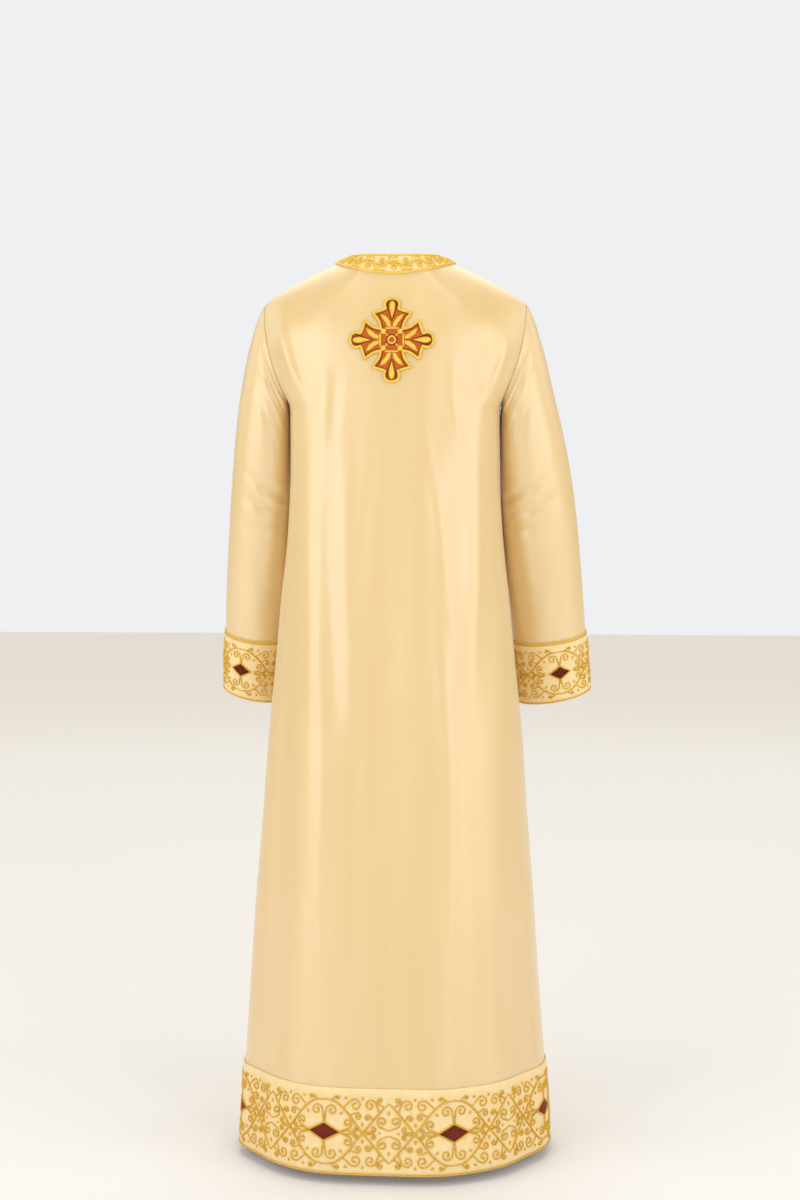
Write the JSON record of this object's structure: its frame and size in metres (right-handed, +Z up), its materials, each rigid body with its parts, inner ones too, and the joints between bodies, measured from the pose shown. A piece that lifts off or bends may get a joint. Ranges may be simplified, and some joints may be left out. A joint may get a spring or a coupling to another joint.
{
  "type": "altar server robe",
  "caption": "Floor-length altar server robe of satin with long sleeves, an embroidered neckband, cuffs and hem band, and a cross on the back.",
  "frame": {"origin": "between the shoulders, where a wearer or a stand holds the robe", "axes": "+Z up, -Y the front of the robe, +X the wearer's left"},
  "size_m": [0.6208, 0.4053, 1.4404],
  "materials": {
    "satin": "satin",
    "gold_work": "embroidered"
  },
  "bodies": {
    "root": {"back_panel": "satin", "front_panel": "satin", "sleeve_left": "satin", "sleeve_right": "satin", "cuff_left": "gold_work", "cuff_right": "gold_work", "neckband": "gold_work", "hem_band_back": "gold_work", "hem_band_front": "gold_work", "cross": "gold_work"}
  },
  "joints": []
}
